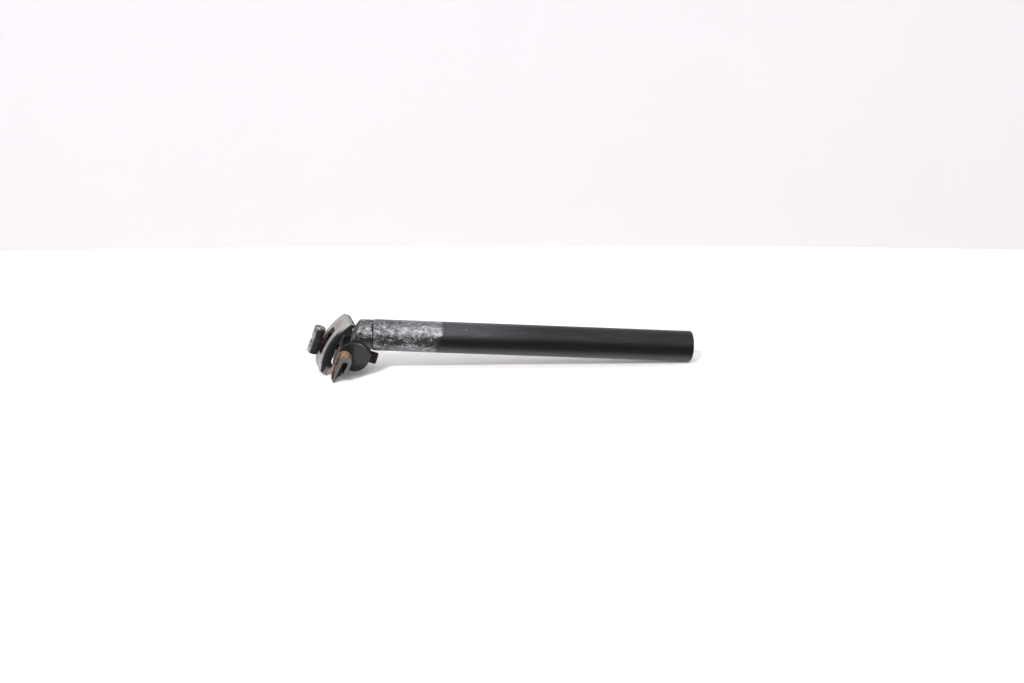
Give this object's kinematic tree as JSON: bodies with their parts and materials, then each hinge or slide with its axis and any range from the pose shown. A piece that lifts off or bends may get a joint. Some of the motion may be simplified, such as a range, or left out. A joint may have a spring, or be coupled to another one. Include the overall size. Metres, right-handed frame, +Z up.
{
  "type": "bicycle seatpost",
  "caption": "Bicycle seatpost with a round tube, a setback head and a single-bolt saddle rail clamp, slackened and worn, lying on its side.",
  "frame": {"origin": "on the floor that the post lies on, under the middle of its bounding box", "axes": "+X along the post to the open end of the tube, +Y to the side away from the picture's viewer, +Z up"},
  "size_m": [0.3371, 0.054, 0.0503],
  "materials": {
    "tube_black": "satin black anodised, chipped near the head",
    "head_black": "matt black, chipped to bare aluminium on its edges",
    "clamp_rusty": "cast, grey-brown with orange rust",
    "plate_grey": "worn pale grey on its outer face, black on its edges",
    "bolt_rusty": "rusted",
    "washer_steel": "dull",
    "nut_steel": "dull plated, stained brown"
  },
  "bodies": {
    "post": {"tube": "tube_black", "head": "head_black"},
    "clamp": {"lower_clamp": "clamp_rusty", "washer": "washer_steel"},
    "bolt": {"clamp_bolt": "bolt_rusty"},
    "plate": {"upper_clamp": "plate_grey"},
    "nut": {"barrel_nut": "nut_steel"}
  },
  "joints": [
    {"name": "saddle_tilt", "type": "hinge", "parent": "post", "child": "clamp", "pos_m": [-0.12783, 0, 0.01862], "axis": [0, 1, 0], "range_deg": [-4, 2.5]},
    {"name": "bolt_turn", "type": "hinge", "parent": "clamp", "child": "bolt", "pos_m": [-0.12783, 0, 0.01862], "axis": [-0.9361, 0, 0.3518], "range_deg": [-1800, 90]},
    {"name": "plate_swivel", "type": "hinge", "parent": "clamp", "child": "plate", "pos_m": [-0.12783, 0, 0.01862], "axis": [-0.9361, 0, 0.3518], "range_deg": [-4, 10]},
    {"name": "nut_travel", "type": "slide", "parent": "clamp", "child": "nut", "axis": [-0.9361, 0, 0.3518], "range_m": [-0.00025, 0.005]}
  ],
  "couplings": [
    {"joint": "bolt_turn", "follows": "nut_travel", "rad_per_m": -6283.2}
  ]
}
